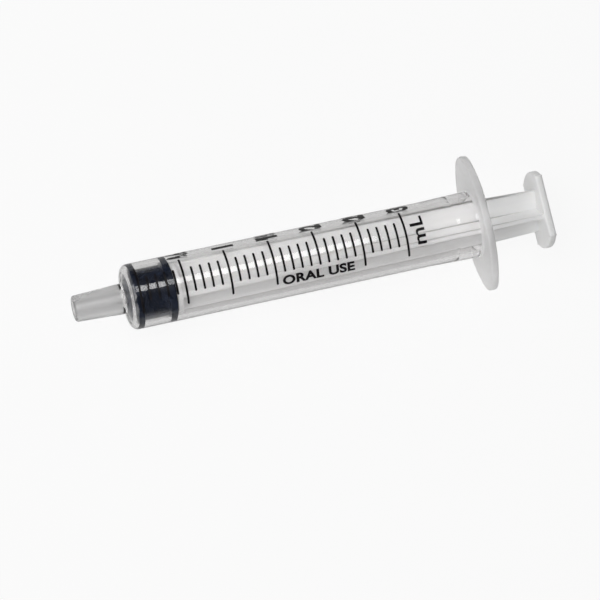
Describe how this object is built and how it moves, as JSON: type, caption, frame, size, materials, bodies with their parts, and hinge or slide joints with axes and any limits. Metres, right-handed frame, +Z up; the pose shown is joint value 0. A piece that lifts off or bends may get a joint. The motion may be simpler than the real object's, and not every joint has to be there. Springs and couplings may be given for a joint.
{
  "type": "oral syringe",
  "caption": "Small oral dosing syringe: clear graduated barrel with a tapered nozzle and oval finger flange, black rubber stopper, and a sliding white plunger rod with a flatted thumb press.",
  "frame": {"origin": "on the surface under the middle of the overall length, directly below the barrel's axis; the syringe lies on the long side of its finger flange and the axis is 6.6 mm up", "axes": "+X along the barrel from the nozzle to the thumb press, +Y along the finger flange's wings, +Z up, on the side of the barrel that carries the scale"},
  "size_m": [0.081, 0.023, 0.0132],
  "materials": {
    "clear_barrel": "clear polypropylene, glossy, faintly hazy",
    "stopper_rubber": "black elastomer, lightly siliconed, semi-gloss",
    "white_plunger": "translucent white polyethylene, satin",
    "scale_ink": "black printed ink"
  },
  "bodies": {
    "barrel": {"barrel": "clear_barrel"},
    "stopper": {"stopper": "stopper_rubber"},
    "plunger_rod": {"plunger_rod": "white_plunger"}
  },
  "joints": [
    {"name": "plunger_slide", "type": "slide", "parent": "barrel", "child": "stopper", "axis": [1, 0, 0], "range_m": [0, 0.0475]},
    {"name": "rod_turn", "type": "hinge", "parent": "stopper", "child": "plunger_rod", "pos_m": [-0.0258, 0, 0.0066], "axis": [1, 0, 0], "continuous": true}
  ]
}
